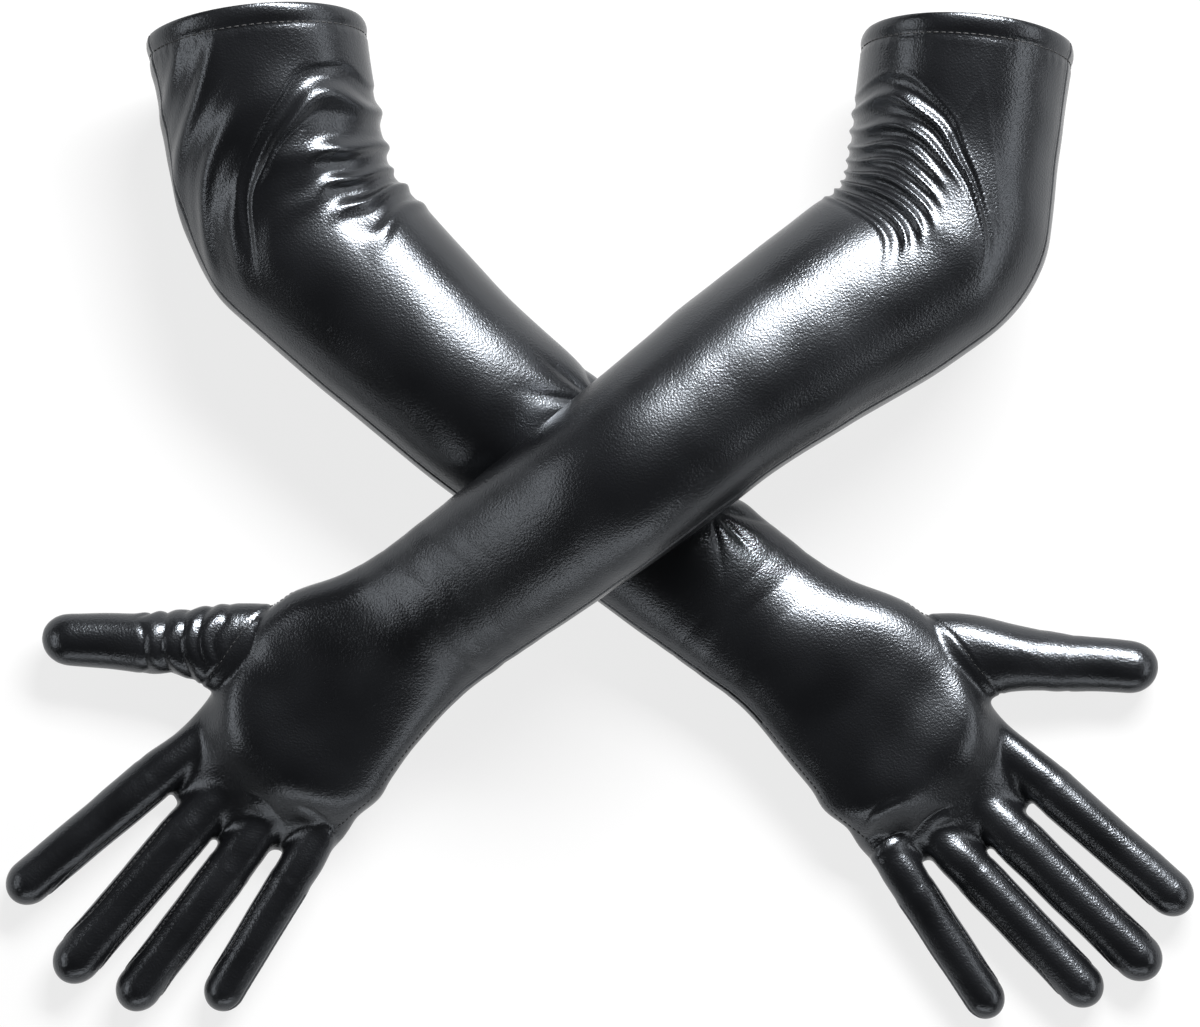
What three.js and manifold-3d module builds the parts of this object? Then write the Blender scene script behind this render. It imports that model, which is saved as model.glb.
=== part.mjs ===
// A pair of opera gloves in coated stretch fabric, filled out as worn, palms up, forearms crossed.
// Millimetres, +X across the pair, +Y towards the arm openings, +Z up. The gloves lie on z = 0.
import * as THREE from 'three';
import { mergeVertices } from 'three/addons/utils/BufferGeometryUtils.js';
import Module from 'manifold-3d';

const wasm = await Module();
wasm.setup();

// Driving dimensions, shared by both gloves.
const wall = 1; // coated fabric and its lining
const gap = 0.5; // clearance between pieces that touch
const upperLength = 81; // elbow to the hem, along the centreline
const forearmLength = 246; // elbow to the narrowest part of the wrist
const elbowWidth = 89;
const elbowGirth = 256;
const forearmWidth = 77; // at mid forearm
const forearmGirth = 232;
const wristWidth = 67;
const wristGirth = 174;
const palmWidth = 87;
const palmGirth = 208;
const knuckleGirth = 200;
const upperGirth = 262;
const hemLean = 0.4; // how far the hem plane leans, per mm of height
const hemSkew = 0.067; // and runs down towards the crook of the arm, per mm across
const hemDepth = 8; // the turned-in edge of the arm opening
const stitchInset = 6.5; // hem stitching, down from the edge
const threadRadius = 0.45;
const elbowAbove = 40; // the part of the sleeve that folds, above the elbow
const elbowBelow = 60; // and below it
const wristZone = 22; // the part that folds each side of the wrist
const flatten = 2; // how deep each glove's round underside is flattened where it lies
const pressedBy = 18.555; // how much thinner the lower forearm is under the upper one than at mid forearm
const hemLift = 6.5; // the hem stands this clear of the surface, with its stitching
const layGap = 5; // between the two gloves where their centrelines cross
const crossSquash = 0.92; // the upper forearm's share of its own depth where it crosses
const crossNarrowing = [5, 17]; // the forearm's width and girth there, less than at mid forearm

// How high the upper glove's centreline runs, as shares of its height at the crossing.
const rise = { elbow: 0.16, midForearm: 0.55, wrist: 0.54, afterWrist: 0.38, heel: 0.24, palm: 0.2 };

// Fingers, in the hand's own frame: x from the wrist to the fingertips, y to the thumb side.
const fingers = [
  { name: 'index', x: 138, y: 24.8, length: 81.5, width: 18.5, depth: 18 },
  { name: 'middle', x: 142, y: 0, length: 85, width: 19.5, depth: 18.5 },
  { name: 'ring', x: 133, y: -21.5, length: 83, width: 18.5, depth: 18 },
  { name: 'little', x: 118, y: -41, length: 72.5, width: 17, depth: 16.5 },
];
const palmReach = 148; // how far the palm's cut runs before the fingers trim it
const rootSwell = 0.06; // a finger is this much wider at its root
const stripHeight = 0.52; // a fourchette's share of the finger's depth
const stripReach = 0.86; // and of its length
const stripTaper = 0.6; // where it starts to taper to its point

// The thumb is set into an opening on the hand's thumb side.
const thumbOpening = { from: 50, to: 104, y: 38 };
const thumbSections = [
  {
    x: (thumbOpening.from + thumbOpening.to) / 2,
    y: thumbOpening.y + gap,
    z: 0,
    halfWidth: (thumbOpening.to - thumbOpening.from) / 2 - 2,
    halfDepth: 10.5,
    turn: 90,
  },
  { x: 85, y: 48, z: -1, halfWidth: 19, halfDepth: 12, turn: 70 },
  { x: 98, y: 58, z: -2, halfWidth: 14, halfDepth: 12, turn: 52 },
  { x: 111, y: 67.5, z: -3, halfWidth: 12.4, halfDepth: 11, turn: 42 },
  { x: 124, y: 78.5, z: -4, halfWidth: 11.4, halfDepth: 10, turn: 40 },
  { x: 143, y: 93.7, z: -4.5, halfWidth: 10.4, halfDepth: 9, turn: 38 },
];
const thumbTip = 11; // length of the rounded end

// How each glove lies. Angles are headings in the XY plane, in degrees. Shifts move the sleeve and forearm
// sideways from their centreline, at the first seven stations.
const crossing = new THREE.Vector2(-0.5, 11);
const lays = {
  left: {
    thumbSide: 1,
    upperHeading: 98.5,
    forearmHeading: -39.2,
    handHeading: -40.4,
    crossToWrist: 79,
    upperWidth: 90,
    spread: [-1, -4, -6, -16.5],
    thumbSwing: -2.5,
    shift: [1, 1.5, 4, -2.5, -2.5, -0.5, 0],
  },
  right: {
    thumbSide: -1,
    upperHeading: 82.9,
    forearmHeading: 216.4,
    handHeading: 221.4,
    crossToWrist: 75,
    upperWidth: 87,
    spread: [1.5, -8, -11.5, -17.5],
    thumbSwing: 4,
    shift: [-3.3, -3.5, -3.3, 0, -2, -2, -1.5],
  },
};

// Mesh fineness.
const around = 20;
const aroundFinger = 16;
const cornerReach = 16; // the centreline rounds the elbow within this distance
const turnReach = 52; // the sections turn round the elbow within this distance
const pathSteps = 14;

const fabric = new THREE.MeshStandardMaterial({ color: 0x16161a, roughness: 0.32, metalness: 0 });
const lining = new THREE.MeshStandardMaterial({ color: 0x1c1c1f, roughness: 0.85, metalness: 0 });
const thread = new THREE.MeshStandardMaterial({ color: 0x0c0c0e, roughness: 0.6, metalness: 0 });

const radians = THREE.MathUtils.degToRad;

function direction(degrees) {
  return new THREE.Vector2(Math.cos(radians(degrees)), Math.sin(radians(degrees)));
}

// Half the thickness of an oval of the given girth and half width: girth² = 2π²(width² + thickness²).
function halfThickness(girth, halfWidth) {
  return Math.sqrt(Math.max(girth ** 2 / (2 * Math.PI ** 2) - halfWidth ** 2, 16));
}

// Smooth value between stations: a cubic through them, with each slope taken from its neighbours.
function along(stations, key, at) {
  const last = stations.length - 1;
  let i = 0;
  while (i < last - 1 && at > stations[i + 1].at) i += 1;
  const slope = (k) => {
    const a = stations[Math.max(k - 1, 0)];
    const b = stations[Math.min(k + 1, last)];
    return (b[key] - a[key]) / (b.at - a.at);
  };
  const span = stations[i + 1].at - stations[i].at;
  const s = Math.min(Math.max((at - stations[i].at) / span, 0), 1);
  const keep = 2 * s ** 3 - 3 * s ** 2 + 1;
  return stations[i][key] * keep + stations[i + 1][key] * (1 - keep)
    + slope(i) * span * (s ** 3 - 2 * s ** 2 + s) + slope(i + 1) * span * (s ** 3 - s ** 2);
}

// The limb of one glove: stations from the hem to the knuckles, at distances from the elbow.
function limbOf(side) {
  const lay = lays[side];
  const top = side === 'right';
  const wrist = forearmLength;
  const cross = forearmLength - lay.crossToWrist;
  const crossWidth = forearmWidth - crossNarrowing[0];
  const crossGirth = forearmGirth - crossNarrowing[1];
  const pressedThickness = 2 * halfThickness(forearmGirth, forearmWidth / 2) - pressedBy;
  const rows = [
    { at: -upperLength - 20, width: lay.upperWidth, girth: upperGirth, shift: 0 },
    { at: -upperLength / 2, width: lay.upperWidth - 1, girth: upperGirth, shift: 0 },
    { at: 0, width: elbowWidth, girth: elbowGirth, shift: 0 },
    { at: 0.4 * forearmLength, width: forearmWidth, girth: forearmGirth, shift: 0 },
    { at: cross, width: crossWidth, girth: crossGirth, shift: 0 },
    { at: wrist, width: wristWidth, girth: wristGirth, shift: 0 },
    { at: wrist + 24, width: wristWidth + 2, girth: wristGirth + 4, shift: 2 },
    { at: wrist + 50, width: palmWidth - 6, girth: palmGirth - 10, shift: 4 },
    { at: wrist + 78, width: palmWidth, girth: palmGirth, shift: 1.5 },
    { at: wrist + 104, width: palmWidth, girth: palmGirth, shift: -3.5 },
    { at: wrist + 126, width: palmWidth, girth: knuckleGirth, shift: -7.5 },
    { at: wrist + palmReach, width: palmWidth, girth: knuckleGirth - 4, shift: -8 },
  ];
  rows.forEach((row, i) => {
    row.shift += lay.shift[i] ?? 0;
    row.skew = row.at < -upperLength / 2 - 1 ? hemSkew : 0;
    row.halfWidth = row.width / 2;
    row.halfDepth = halfThickness(row.girth, row.halfWidth);
    row.lean = row.at < -upperLength / 2 - 1 ? hemLean : 0;
    row.square = row.at > wrist + 30 ? 0.82 : 1;
    row.height = row.halfDepth - flatten;
  });
  const [hem, , elbow, midForearm, over, atWrist, afterWrist, heel, palm] = rows;
  hem.height += flatten + hemLift;
  if (top) {
    over.halfDepth *= crossSquash;
    over.height = pressedThickness + layGap + over.halfDepth;
    elbow.height += rise.elbow * over.height;
    midForearm.height = (1 - rise.midForearm) * elbow.height + rise.midForearm * over.height;
    atWrist.height = rise.wrist * over.height;
    afterWrist.height = rise.afterWrist * over.height;
    heel.height = rise.heel * over.height + 3;
    palm.height = Math.max(palm.height, rise.palm * over.height + 1);
  } else {
    over.halfDepth = (pressedThickness + flatten) / 2;
    over.height = over.halfDepth - flatten;
  }
  return { lay, rows, wrist, ...placesOf(lay, wrist) };
}

// The centreline in plan: hem to elbow, elbow to wrist, wrist to knuckles.
function placesOf(lay, wrist) {
  const fore = direction(lay.forearmHeading);
  const elbow = crossing.clone().addScaledVector(fore, lay.crossToWrist - wrist);
  const wristAt = elbow.clone().addScaledVector(fore, wrist);
  const upper = direction(lay.upperHeading);
  const hand = direction(lay.handHeading);
  return { elbow, wristAt, upper, fore, hand };
}

function centreAt(limb, at) {
  const { elbow, upper, fore, hand, wristAt, wrist } = limb;
  if (at > wrist) return wristAt.clone().addScaledVector(hand, at - wrist);
  if (at >= cornerReach) return elbow.clone().addScaledVector(fore, at);
  if (at <= -cornerReach) return elbow.clone().addScaledVector(upper, -at);
  const s = (at + cornerReach) / (2 * cornerReach);
  return elbow.clone()
    .addScaledVector(upper, cornerReach * (1 - s) ** 2)
    .addScaledVector(fore, cornerReach * s ** 2);
}

// The heading across which a section is cut turns smoothly round the elbow and the wrist.
function headingAt(limb, at) {
  const { lay, wrist } = limb;
  const ease = (centre, reach) => THREE.MathUtils.smoothstep(at, centre - reach, centre + reach);
  const start = lay.upperHeading + 180 * lay.thumbSide * -1;
  const bend = lay.forearmHeading - start;
  const turn = lay.handHeading - lay.forearmHeading;
  return start + bend * ease(0, turnReach) + turn * ease(wrist, wristZone);
}

// One ring round the limb, inset by some thickness: a rounded oval, never under the surface it lies on.
function ringAt(limb, at, inset, count = around) {
  const value = (key) => along(limb.rows, key, at);
  const centre = centreAt(limb, at);
  const heading = direction(headingAt(limb, at));
  const across = new THREE.Vector2(-heading.y, heading.x).multiplyScalar(limb.lay.thumbSide);
  centre.addScaledVector(across, value('shift'));
  const half = value('halfWidth') - inset;
  const deep = value('halfDepth') - inset;
  const square = value('square');
  return Array.from({ length: count }, (_, k) => {
    const angle = (2 * Math.PI * k) / count;
    const reach = (c) => Math.sign(c) * Math.abs(c) ** square;
    const side = half * reach(Math.cos(angle));
    const high = deep * reach(Math.sin(angle));
    const back = value('skew') * side - value('lean') * high;
    const z = Math.max(value('height') + high, inset);
    return new THREE.Vector3(
      centre.x + across.x * side + heading.x * back,
      centre.y + across.y * side + heading.y * back,
      z,
    );
  });
}

// A closed skin from rings of equal count: outer rings one way, inner rings back, both rims joined.
// With a tip, the last outer and inner rings close on a point each.
function skin(outer, inner, tips) {
  const loop = [...outer, ...inner.slice().reverse()];
  const count = outer[0].length;
  const points = loop.flat();
  const index = [];
  for (let r = 0; r < loop.length; r += 1) {
    const next = (r + 1) % loop.length;
    if (tips && r === outer.length - 1) continue;
    for (let k = 0; k < count; k += 1) {
      const a = r * count + k;
      const b = r * count + ((k + 1) % count);
      const c = next * count + k;
      const d = next * count + ((k + 1) % count);
      index.push(a, b, c, b, d, c);
    }
  }
  if (tips) {
    const rims = [[outer.length - 1, false], [outer.length, true]];
    tips.forEach((tip, n) => {
      const [ring, flip] = rims[n];
      points.push(tip);
      for (let k = 0; k < count; k += 1) {
        const a = ring * count + k;
        const b = ring * count + ((k + 1) % count);
        index.push(...(flip ? [b, a, points.length - 1] : [a, b, points.length - 1]));
      }
    });
  }
  const geometry = new THREE.BufferGeometry().setFromPoints(points);
  geometry.setIndex(index);
  return outward(geometry);
}

// Turns a closed geometry's faces outwards if its volume comes out negative.
function outward(geometry) {
  const index = Array.from(geometry.index.array);
  const p = geometry.attributes.position;
  const corner = (i) => new THREE.Vector3().fromBufferAttribute(p, i);
  let volume = 0;
  for (let i = 0; i < index.length; i += 3) {
    volume += corner(index[i]).dot(corner(index[i + 1]).cross(corner(index[i + 2])));
  }
  if (volume < 0) {
    for (let i = 0; i < index.length; i += 3) {
      [index[i + 1], index[i + 2]] = [index[i + 2], index[i + 1]];
    }
    geometry.setIndex(index);
  }
  return geometry;
}

function spaced(from, to, count) {
  return Array.from({ length: count }, (_, i) => from + ((to - from) * i) / (count - 1));
}

// A stretch of the limb's cloth between two distances from the elbow.
function limbSkin(limb, from, to, rows, inset = 0, thickness = wall) {
  const places = spaced(from, to, rows);
  return skin(
    places.map((at) => ringAt(limb, at, inset)),
    places.map((at) => ringAt(limb, at, inset + thickness)),
  );
}

// Solids for cutting.
function solidOf(geometry) {
  const bare = geometry.clone();
  bare.deleteAttribute('normal');
  bare.deleteAttribute('uv');
  const merged = mergeVertices(bare, 1e-4);
  const index = merged.index.array;
  const kept = [];
  for (let i = 0; i < index.length; i += 3) {
    const [a, b, c] = index.slice(i, i + 3);
    if (a !== b && b !== c && c !== a) kept.push(a, b, c);
  }
  return new wasm.Manifold(new wasm.Mesh({
    numProp: 3,
    vertProperties: new Float32Array(merged.attributes.position.array),
    triVerts: new Uint32Array(kept),
  }));
}

function geometryOf(solid) {
  const mesh = solid.getMesh();
  const geometry = new THREE.BufferGeometry();
  geometry.setAttribute('position', new THREE.BufferAttribute(mesh.vertProperties, 3));
  geometry.setIndex(new THREE.BufferAttribute(mesh.triVerts, 1));
  return geometry;
}

// A prism over an outline in the hand's frame, tall enough to cut right through the hand.
function handPrism(limb, outline) {
  const tall = 400;
  const shape = new THREE.Shape(outline.map(([x, y]) => handPoint(limb, x, y)));
  const geometry = new THREE.ExtrudeGeometry(shape, { depth: tall, bevelEnabled: false });
  geometry.translate(0, 0, -tall / 2);
  return solidOf(geometry);
}

function handPoint(limb, x, y) {
  const across = new THREE.Vector2(-limb.hand.y, limb.hand.x).multiplyScalar(limb.lay.thumbSide);
  return limb.wristAt.clone().addScaledVector(limb.hand, x).addScaledVector(across, y);
}

// Where a finger's hinge line crosses the hand, and which way the finger points.
function fingerFrame(limb, finger, n) {
  const turn = radians(limb.lay.spread[n]);
  const toward = [Math.cos(turn), Math.sin(turn)];
  return { toward, side: [-toward[1], toward[0]], root: [finger.x, finger.y] };
}

// The palm ends at the finger roots, and opens on the thumb side.
function palmGeometry(limb) {
  const start = limb.wrist + wristZone + gap / 2;
  const whole = solidOf(limbSkin(limb, start, limb.wrist + palmReach, 10));
  const front = [[palmReach + 40, 120], [60 + fingers[0].x / 2, 120]];
  fingers.forEach((finger, n) => {
    const { toward, side, root } = fingerFrame(limb, finger, n);
    const before = fingers[n - 1];
    const after = fingers[n + 1];
    const reach = [
      before ? (before.y - finger.y) / 2 : 1.2 * finger.width,
      after ? (after.y - finger.y) / 2 : -1.2 * finger.width,
    ];
    for (const r of reach) {
      front.push([root[0] - gap * toward[0] + r * side[0], root[1] - gap * toward[1] + r * side[1]]);
    }
  });
  front.push([fingers[3].x - 4, -120], [palmReach + 40, -120]);
  const { from, to, y } = thumbOpening;
  const opening = [[from, y], [to, y], [to, y + 60], [from, y + 60]];
  return geometryOf(whole.subtract(handPrism(limb, front)).subtract(handPrism(limb, opening)));
}

// A finger along +X from its open root: a tube with a rounded end, spun and then flattened.
function fingerSolid(finger, inset = 0) {
  const { length, width, depth } = finger;
  const profile = (r, reach) => {
    const cap = 1.15 * r;
    const tube = spaced(0, reach - cap, 4).map((s) => {
      const swell = 1 + rootSwell * (1 - s / reach) ** 2;
      return new THREE.Vector2(r * swell, s);
    });
    const end = spaced(0, 90, 6).slice(1).map((a) => (
      new THREE.Vector2(a === 90 ? 0 : r * Math.cos(radians(a)), reach - cap + cap * Math.sin(radians(a)))
    ));
    return [...tube, ...end];
  };
  const outer = profile(width / 2 - inset, length - inset);
  const inner = profile(width / 2 - inset - wall, length - inset - wall);
  const geometry = new THREE.LatheGeometry([...inner.reverse(), ...outer], aroundFinger);
  geometry.scale(1, 1, depth / width);
  geometry.rotateZ(-Math.PI / 2);
  return solidOf(outward(mergeVertices(stripped(geometry), 1e-4)));
}

function stripped(geometry) {
  geometry.deleteAttribute('normal');
  geometry.deleteAttribute('uv');
  return geometry;
}

// The prism that a fourchette is cut with: a strip along the finger's side, pointed at its far end.
function stripPrism(finger, side, grow) {
  const high = (stripHeight * finger.depth) / 2 + grow;
  const end = stripReach * finger.length + grow;
  const shape = new THREE.Shape();
  shape.moveTo(-1, -high);
  shape.lineTo(stripTaper * finger.length, -high);
  shape.quadraticCurveTo(0.8 * end, -high, end, 0);
  shape.quadraticCurveTo(0.8 * end, high, stripTaper * finger.length, high);
  shape.lineTo(-1, high);
  shape.closePath();
  const options = { depth: finger.width, bevelEnabled: false, curveSegments: 4 };
  const geometry = new THREE.ExtrudeGeometry(shape, options);
  geometry.rotateX(Math.PI / 2);
  if (side > 0) geometry.translate(0, finger.width, 0);
  return solidOf(geometry);
}

// One finger: its cover and the fourchettes on the sides that face another finger.
function addFinger(group, limb, side, finger, n) {
  const { toward, root } = fingerFrame(limb, finger, n);
  const base = handPoint(limb, ...root);
  const ahead = handPoint(limb, root[0] + toward[0], root[1] + toward[1]).sub(base);
  const rootHeight = Math.max(along(limb.rows, 'height', limb.wrist + finger.x), finger.depth / 2 + 1);
  const tipHeight = finger.depth / 2 + 0.6;
  const holder = new THREE.Group();
  holder.position.set(base.x, base.y, rootHeight);
  holder.rotation.order = 'ZYX';
  const pitch = Math.asin((rootHeight - tipHeight) / (finger.length - finger.depth / 2));
  holder.rotation.set(0, pitch, Math.atan2(ahead.y, ahead.x));
  const tube = fingerSolid(finger);
  const facing = [n > 0 ? 1 : 0, n < 3 ? -1 : 0].filter((s) => s !== 0);
  let cover = tube;
  for (const s of facing) {
    const out = s * limb.lay.thumbSide;
    cover = cover.subtract(stripPrism(finger, out, gap));
    const label = s > 0 ? 'thumbward' : 'outward';
    const strip = tube.intersect(stripPrism(finger, out, 0));
    addMesh(holder, `${side}_${finger.name}_${label}_fourchette`, geometryOf(strip), fabric);
  }
  addMesh(holder, `${side}_${finger.name}_cover`, geometryOf(cover), fabric);
  group.add(holder);
  const top = new THREE.Vector3(base.x, base.y, rootHeight + (finger.depth / 2) * (1 + rootSwell));
  return { at: top, axis: new THREE.Vector3(ahead.y, -ahead.x, 0) };
}

// The thumb: ovals along its centreline, turned to face along it, with a rounded end.
function addThumb(group, limb, side) {
  const height = along(limb.rows, 'height', limb.wrist + thumbSections[0].x);
  const count = thumbSections.length;
  const rows = thumbSections.map((s, i) => {
    const swing = limb.lay.thumbSwing * Math.min(i / 2, 1);
    const from = thumbSections[0];
    const spot = new THREE.Vector2(s.x, s.y).rotateAround(new THREE.Vector2(from.x, from.y), radians(swing));
    return { ...s, x: spot.x, y: spot.y, turn: s.turn + swing, at: i / (count - 1) };
  });
  const ringFor = (at, inset, shrink) => {
    const value = (key) => along(rows, key, at);
    const turn = radians(value('turn'));
    const centre = [value('x') - shrink.back * Math.cos(turn), value('y') - shrink.back * Math.sin(turn)];
    const half = (value('halfWidth') - inset) * shrink.share;
    const deep = (value('halfDepth') - inset) * shrink.share;
    const lift = Math.max(height + value('z'), value('halfDepth') + 0.5);
    return Array.from({ length: aroundFinger }, (_, k) => {
      const angle = (2 * Math.PI * k) / aroundFinger;
      const w = half * Math.cos(angle);
      const p = handPoint(limb, centre[0] - w * Math.sin(turn), centre[1] + w * Math.cos(turn));
      return new THREE.Vector3(p.x, p.y, Math.max(lift + deep * Math.sin(angle), inset));
    });
  };
  const reach = Math.hypot(rows[count - 1].x - rows[count - 2].x, rows[count - 1].y - rows[count - 2].y);
  const bodyEnd = 1 - thumbTip / reach / (count - 1);
  const ringsFor = (inset) => {
    const tube = spaced(0, bodyEnd, 9).map((at) => ringFor(at, inset, { share: 1, back: 0 }));
    const cap = spaced(0, 90, 5).slice(1, -1).map((a) => {
      const ahead = (1 - Math.sin(radians(a))) * (1 - bodyEnd);
      return ringFor(1 - ahead, inset, { share: Math.cos(radians(a)), back: inset * Math.sin(radians(a)) });
    });
    return [...tube, ...cap];
  };
  const tip = (inset) => {
    const ring = ringFor(1, inset, { share: 0, back: inset });
    return ring[0].clone();
  };
  const geometry = skin(ringsFor(0), ringsFor(wall), [tip(0), tip(wall)]);
  addMesh(group, `${side}_thumb`, geometry, fabric);
  const loop = ringFor(0.02, -gap - threadRadius, { share: 1, back: 0 });
  addMesh(group, `${side}_thumb_seam_thread`, threadAlong(openLoop(loop), 28, threadRadius), thread);
  const hinge = handPoint(limb, rows[0].x, thumbOpening.y);
  const across = handPoint(limb, 0, 1).sub(handPoint(limb, 0, 0));
  const level = Math.max(height + rows[0].z, rows[0].halfDepth + 0.5) + rows[0].halfDepth;
  return { at: new THREE.Vector3(hinge.x, hinge.y, level), axis: new THREE.Vector3(across.y, -across.x, 0) };
}

// A loop of sewing starts and ends side by side, so its path stays open by a small step.
function openLoop(points) {
  const closed = new THREE.CatmullRomCurve3(points, true);
  const steps = 3 * points.length;
  return spaced(0.006, 0.994, steps).map((s) => closed.getPoint(s));
}

function threadAlong(points, steps, radius) {
  const shape = new THREE.Shape();
  const sides = 5;
  for (let k = 0; k < sides; k += 1) {
    const angle = (2 * Math.PI * k) / sides;
    shape[k ? 'lineTo' : 'moveTo'](radius * Math.cos(angle), radius * Math.sin(angle));
  }
  shape.closePath();
  const path = new THREE.CatmullRomCurve3(points);
  return new THREE.ExtrudeGeometry(shape, { steps, bevelEnabled: false, extrudePath: path });
}

// The long seam lies a little above the limb's outer edge, so it is seen from above.
function sideSeam(limb, from, to) {
  const place = Math.round((around * 160) / 360);
  const lift = gap + threadRadius;
  const points = spaced(from, to, pathSteps).map((at) => ringAt(limb, at, -lift)[place]);
  return threadAlong(points, pathSteps - 1, threadRadius);
}

function addMesh(group, name, geometry, material) {
  const mesh = new THREE.Mesh(geometry, material);
  mesh.name = name;
  group.add(mesh);
}

function addGlove(group, side) {
  const limb = limbOf(side);
  const { wrist } = limb;
  const hem = -upperLength;
  const half = gap / 2;
  const stretches = [
    ['upper_sleeve', hem, -elbowAbove - half, 4],
    ['elbow', -elbowAbove + half, elbowBelow - half, 9],
    ['forearm', elbowBelow + half, wrist - wristZone - half, 11],
    ['wrist', wrist - wristZone + half, wrist + wristZone - half, 4],
  ];
  for (const [name, from, to, rows] of stretches) {
    addMesh(group, `${side}_${name}`, limbSkin(limb, from, to, rows), fabric);
  }
  addMesh(group, `${side}_palm`, palmGeometry(limb), fabric);

  const fold = limbSkin(limb, hem, hem + hemDepth, 2, wall + gap, 0.8 * wall);
  addMesh(group, `${side}_hem_fold`, fold, lining);
  const ring = ringAt(limb, hem + stitchInset, -gap - threadRadius);
  addMesh(group, `${side}_hem_thread`, threadAlong(openLoop(ring), 36, threadRadius), thread);

  const seams = [
    ['upper', hem + hemDepth + 2, -elbowAbove - 1],
    ['elbow', -elbowAbove + 1, elbowBelow - 1],
    ['forearm', elbowBelow + 1, wrist - wristZone - 1],
    ['palm', wrist + wristZone + 1, wrist + fingers[3].x - 6],
  ];
  for (const [name, from, to] of seams) {
    addMesh(group, `${side}_${name}_seam_thread`, sideSeam(limb, from, to), thread);
  }

  const hinges = {};
  fingers.forEach((finger, n) => {
    hinges[`${side}_${finger.name}_root`] = addFinger(group, limb, side, finger, n);
  });
  hinges[`${side}_thumb_root`] = addThumb(group, limb, side);
  const wristHeight = along(limb.rows, 'height', wrist);
  hinges[`${side}_wrist_fold`] = {
    at: new THREE.Vector3(limb.wristAt.x, limb.wristAt.y, wristHeight),
    axis: new THREE.Vector3(limb.hand.y, -limb.hand.x, 0),
  };
  hinges[`${side}_elbow_fold`] = {
    at: new THREE.Vector3(limb.elbow.x, limb.elbow.y, along(limb.rows, 'height', 0)),
    axis: new THREE.Vector3(0, 0, -limb.lay.thumbSide),
  };
  return hinges;
}

const glovePair = new THREE.Group();
glovePair.userData.hinges = {
  ...addGlove(glovePair, 'left'),
  ...addGlove(glovePair, 'right'),
};

export default glovePair;
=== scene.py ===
import math

import bpy
import numpy as np
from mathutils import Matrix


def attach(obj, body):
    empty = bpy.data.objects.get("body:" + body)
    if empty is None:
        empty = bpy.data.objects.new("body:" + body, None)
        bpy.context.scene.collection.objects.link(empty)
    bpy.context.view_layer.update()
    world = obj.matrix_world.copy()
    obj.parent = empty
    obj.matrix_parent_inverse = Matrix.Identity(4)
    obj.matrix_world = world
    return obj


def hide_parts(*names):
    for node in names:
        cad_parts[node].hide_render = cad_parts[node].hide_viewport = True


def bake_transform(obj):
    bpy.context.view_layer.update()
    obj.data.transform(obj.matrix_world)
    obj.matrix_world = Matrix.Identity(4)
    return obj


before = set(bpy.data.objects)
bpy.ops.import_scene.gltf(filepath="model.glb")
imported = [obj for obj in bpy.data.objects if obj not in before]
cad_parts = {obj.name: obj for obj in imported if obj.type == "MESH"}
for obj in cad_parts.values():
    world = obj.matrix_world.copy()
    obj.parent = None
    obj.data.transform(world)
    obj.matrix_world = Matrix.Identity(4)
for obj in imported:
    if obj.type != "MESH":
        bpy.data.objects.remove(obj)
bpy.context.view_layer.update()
metres = 0.001    # everything below is worked out in millimetres

arm = {
    "upperLength": 81,
    "forearmLength": 246,
    "upperGirth": 262,
    "elbow": (89, 256),       # width, girth
    "forearm": (77, 232),
    "wrist": (67, 174),
    "palm": (87, 208),
    "knuckleGirth": 200,
    "hemLean": 0.4,           # mm back along the arm per mm up
    "hemSkew": 0.067,         # and per mm across
    "hemLift": 6.5,
    "flatten": 2,             # the underside lies this much flattened
    "palmFrom": 30,           # from here past the wrist the ovals are squarer
    "palmSquare": 0.82,
    "pressed": 52,            # thickness of the lower forearm under the upper one
    "restGap": 0.6,           # cloth to cloth where the forearms cross
    "restSag": 2.5,
    "restAlong": (60, 240),   # the part of the lower forearm that can be lain on
    "restLift": 1.3,
    "crossSquash": 0.92,
    "crossNarrowing": (5, 17),
    # how high the upper forearm's centreline runs, as shares of its height at the crossing, and mm more
    "rise": {"elbow": 0.16, "midForearm": 0.55, "wrist": 0.54, "afterWrist": 0.38, "heel": 0.24, "palm": 0.2},
    "riseMore": {"over": 5, "heel": 3, "palm": 1},
    "wall": 0.9,
    "cornerReach": 16,
    "turnReach": 52,
    "wristReach": 22,
    "elbowBend": 45,          # how far each side of a joint the cloth turns with it
    "wristBend": 27,
}

sideWay = {"thumbward": 1, "outward": -1}    # a finger's two sides
fingers = [    # x and y: the root; cut: where the finger's own piece begins; strips: sides with a fourchette
    {"name": "index", "x": 138, "y": 24.8, "length": 81.5, "width": 18.5, "depth": 18, "cut": 7,
     "strips": ("outward",)},
    {"name": "middle", "x": 142, "y": 0, "length": 85, "width": 19.5, "depth": 18.5, "cut": 4,
     "strips": ("thumbward", "outward")},
    {"name": "ring", "x": 133, "y": -21.5, "length": 83, "width": 18.5, "depth": 18, "cut": 12,
     "strips": ("thumbward", "outward")},
    {"name": "little", "x": 118, "y": -41, "length": 72.5, "width": 17, "depth": 16.5, "cut": 12,
     "strips": ("thumbward",)},
]
fingerCap = 1.15    # how long a finger's rounded end is, in half widths

thumb = {
    # along the hand, out from it, height, half width, half depth, turn
    "sections": np.array([
        (77, 38.5, 0, 25, 10.5, 90),
        (85, 48, -1, 19, 12, 70),
        (98, 58, -2, 14, 12, 52),
        (111, 67.5, -3, 12.4, 11, 42),
        (124, 78.5, -4, 11.4, 10, 40),
        (143, 93.7, -4.5, 10.4, 9, 38),
    ], float),
    "tip": 11,
    "cut": 38,
    "root": 77,               # where it leaves the hand, past the wrist
    "way": (0.764, 0.645),    # along it, in the hand's frame
    "bend": 26,
}

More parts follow.
